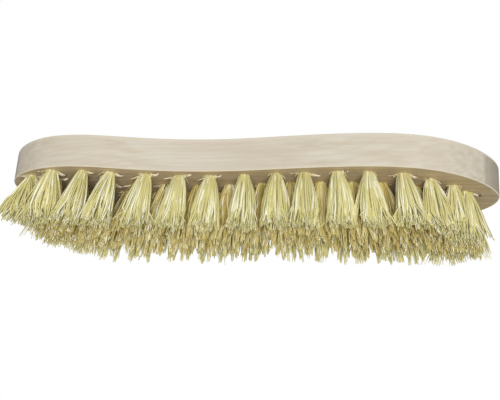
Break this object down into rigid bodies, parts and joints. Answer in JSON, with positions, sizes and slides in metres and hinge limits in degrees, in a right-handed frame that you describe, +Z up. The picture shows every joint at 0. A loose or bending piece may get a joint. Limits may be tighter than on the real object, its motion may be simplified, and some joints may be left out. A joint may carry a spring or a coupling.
{
  "type": "scrub brush",
  "caption": "S-shaped hand scrub brush: a one-piece wooden block with rounded top edges, set from below with staggered, splayed tufts of pale plant fibre.",
  "frame": {"origin": "under the middle of the block, in the plane of the trimmed tips that the brush stands on", "axes": "+X along the block, +Y across it, +Z up from the tips to the hand side of the block"},
  "size_m": [0.2201, 0.0629, 0.0413],
  "materials": {
    "block_wood": "bare, finely sanded pale hardwood",
    "tuft_fibre": "dry plant fibre, matt with a slight sheen",
    "anchor_wire": "flat drawn wire"
  },
  "bodies": {
    "root": {"block": "block_wood", "front_tuft_01": "tuft_fibre", "front_tuft_02": "tuft_fibre", "front_tuft_03": "tuft_fibre", "front_tuft_04": "tuft_fibre", "front_tuft_05": "tuft_fibre", "front_tuft_06": "tuft_fibre", "front_tuft_07": "tuft_fibre", "front_tuft_08": "tuft_fibre", "front_tuft_09": "tuft_fibre", "front_tuft_10": "tuft_fibre", "front_tuft_11": "tuft_fibre", "front_tuft_12": "tuft_fibre", "front_tuft_13": "tuft_fibre", "front_tuft_14": "tuft_fibre", "front_tuft_15": "tuft_fibre", "front_tuft_16": "tuft_fibre", "middle_tuft_01": "tuft_fibre", "middle_tuft_02": "tuft_fibre", "middle_tuft_03": "tuft_fibre", "middle_tuft_04": "tuft_fibre", "middle_tuft_05": "tuft_fibre", "middle_tuft_06": "tuft_fibre", "middle_tuft_07": "tuft_fibre", "middle_tuft_08": "tuft_fibre", "middle_tuft_09": "tuft_fibre", "middle_tuft_10": "tuft_fibre", "middle_tuft_11": "tuft_fibre", "middle_tuft_12": "tuft_fibre", "middle_tuft_13": "tuft_fibre", "middle_tuft_14": "tuft_fibre", "middle_tuft_15": "tuft_fibre", "back_tuft_01": "tuft_fibre", "back_tuft_02": "tuft_fibre", "back_tuft_03": "tuft_fibre", "back_tuft_04": "tuft_fibre", "back_tuft_05": "tuft_fibre", "back_tuft_06": "tuft_fibre", "back_tuft_07": "tuft_fibre", "back_tuft_08": "tuft_fibre", "back_tuft_09": "tuft_fibre", "back_tuft_10": "tuft_fibre", "back_tuft_11": "tuft_fibre", "back_tuft_12": "tuft_fibre", "back_tuft_13": "tuft_fibre", "back_tuft_14": "tuft_fibre", "back_tuft_15": "tuft_fibre", "back_tuft_16": "tuft_fibre", "second_row_tufts": "tuft_fibre", "fourth_row_tufts": "tuft_fibre", "anchors": "anchor_wire"}
  },
  "joints": []
}
